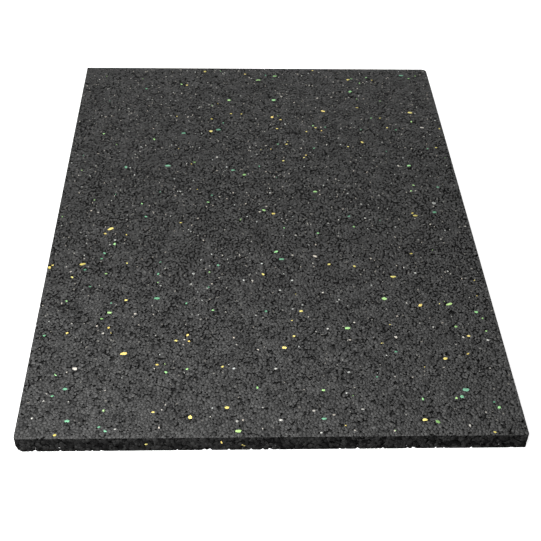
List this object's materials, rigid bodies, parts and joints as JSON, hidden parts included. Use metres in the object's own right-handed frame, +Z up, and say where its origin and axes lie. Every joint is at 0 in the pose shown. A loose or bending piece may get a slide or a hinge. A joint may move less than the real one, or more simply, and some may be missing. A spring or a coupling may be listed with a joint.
{
  "type": "anti-slip mat pad",
  "caption": "Flat anti-slip pad of bonded black rubber granulate with sparse yellow, green and pale flecks, laid under a load or machine to stop sliding and damp vibration.",
  "frame": {"origin": "middle of the underside, the face that lies on the floor", "axes": "+Z up through the thickness, +Y along the pad's length away from the viewer, +X across its width"},
  "size_m": [0.21, 0.297, 0.008],
  "materials": {
    "rubber_granulate": "matt, open-grained: black and dark grey crumbs with small pits between them",
    "yellow_granules": "matt coloured rubber granules, cut flush with the surface",
    "green_granules": "matt coloured rubber granules, cut flush with the surface",
    "pale_granules": "matt pale grey rubber granules and fibre ends, cut flush with the surface"
  },
  "bodies": {
    "root": {"granulate_pad": "rubber_granulate"}
  },
  "joints": []
}
